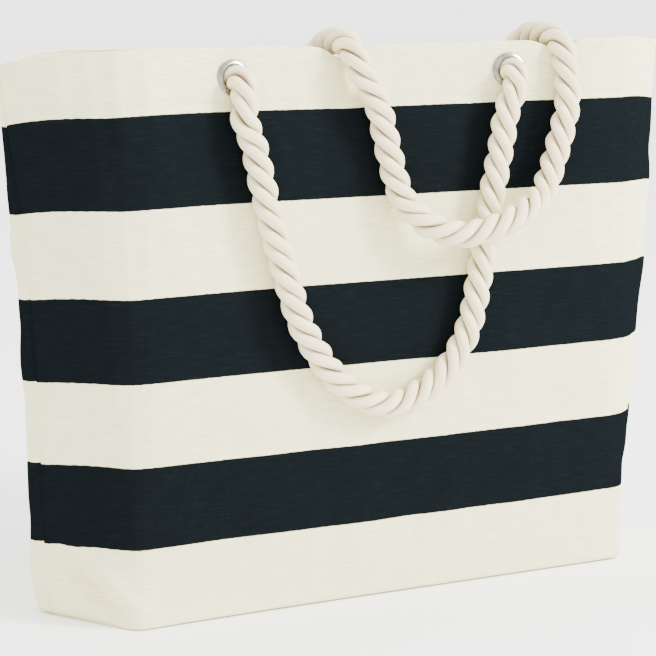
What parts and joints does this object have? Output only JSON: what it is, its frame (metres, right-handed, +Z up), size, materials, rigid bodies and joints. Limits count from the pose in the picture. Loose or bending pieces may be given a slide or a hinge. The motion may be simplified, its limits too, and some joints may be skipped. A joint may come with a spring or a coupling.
{
  "type": "beach bag",
  "caption": "Wide soft canvas tote with horizontal stripes, a boxed base, metal eyelets and twisted rope handles, the rear one thrown over the mouth to hang in front.",
  "frame": {"origin": "middle of the base, on the surface the bag stands on, measured without the ropes and their knots", "axes": "+X along the bag, to the right of someone looking at the front; +Y from front to back; +Z up. The front faces -Y."},
  "size_m": [0.5046, 0.1602, 0.3765],
  "materials": {
    "canvas": "plain-weave cotton canvas, cream with three dark navy stripes",
    "binding": "cream cotton twill tape",
    "nickel": "nickel-plated brass, polished",
    "rope": "three-strand twisted cotton rope, ecru"
  },
  "bodies": {
    "bag": {"front_panel": "canvas", "back_panel": "canvas", "left_side_binding": "binding", "right_side_binding": "binding", "bottom_binding": "binding", "left_corner_binding": "binding", "right_corner_binding": "binding", "front_left_grommet": "nickel", "front_left_washer": "nickel", "front_left_stop_knot": "rope", "front_right_grommet": "nickel", "front_right_washer": "nickel", "front_right_stop_knot": "rope", "back_left_grommet": "nickel", "back_left_washer": "nickel", "back_left_stop_knot": "rope", "back_right_grommet": "nickel", "back_right_washer": "nickel", "back_right_stop_knot": "rope", "back_rope_left_riser": "rope", "back_rope_right_riser": "rope"},
    "front_handle": {"front_handle_rope": "rope"},
    "back_bridge": {"back_rope_left_run": "rope", "back_rope_right_run": "rope"},
    "back_loop": {"back_rope_loop": "rope"}
  },
  "joints": [
    {"name": "back_rope_lift", "type": "hinge", "parent": "bag", "child": "back_bridge", "pos_m": [0.0635, 0.046, 0.3675], "axis": [-1, 0, 0], "range_deg": [0, 90]},
    {"name": "back_loop_lift", "type": "hinge", "parent": "back_bridge", "child": "back_loop", "pos_m": [0.0635, -0.046, 0.3675], "axis": [-1, 0, 0], "range_deg": [0, 90]},
    {"name": "front_handle_lift", "type": "hinge", "parent": "bag", "child": "front_handle", "pos_m": [0, -0.04994, 0.35169], "axis": [-1, 0, 0], "range_deg": [0, 180]}
  ],
  "couplings": [
    {"joint": "back_loop_lift", "follows": "back_rope_lift", "ratio": 1},
    {"joint": "front_handle_lift", "follows": "back_rope_lift", "ratio": 2}
  ]
}
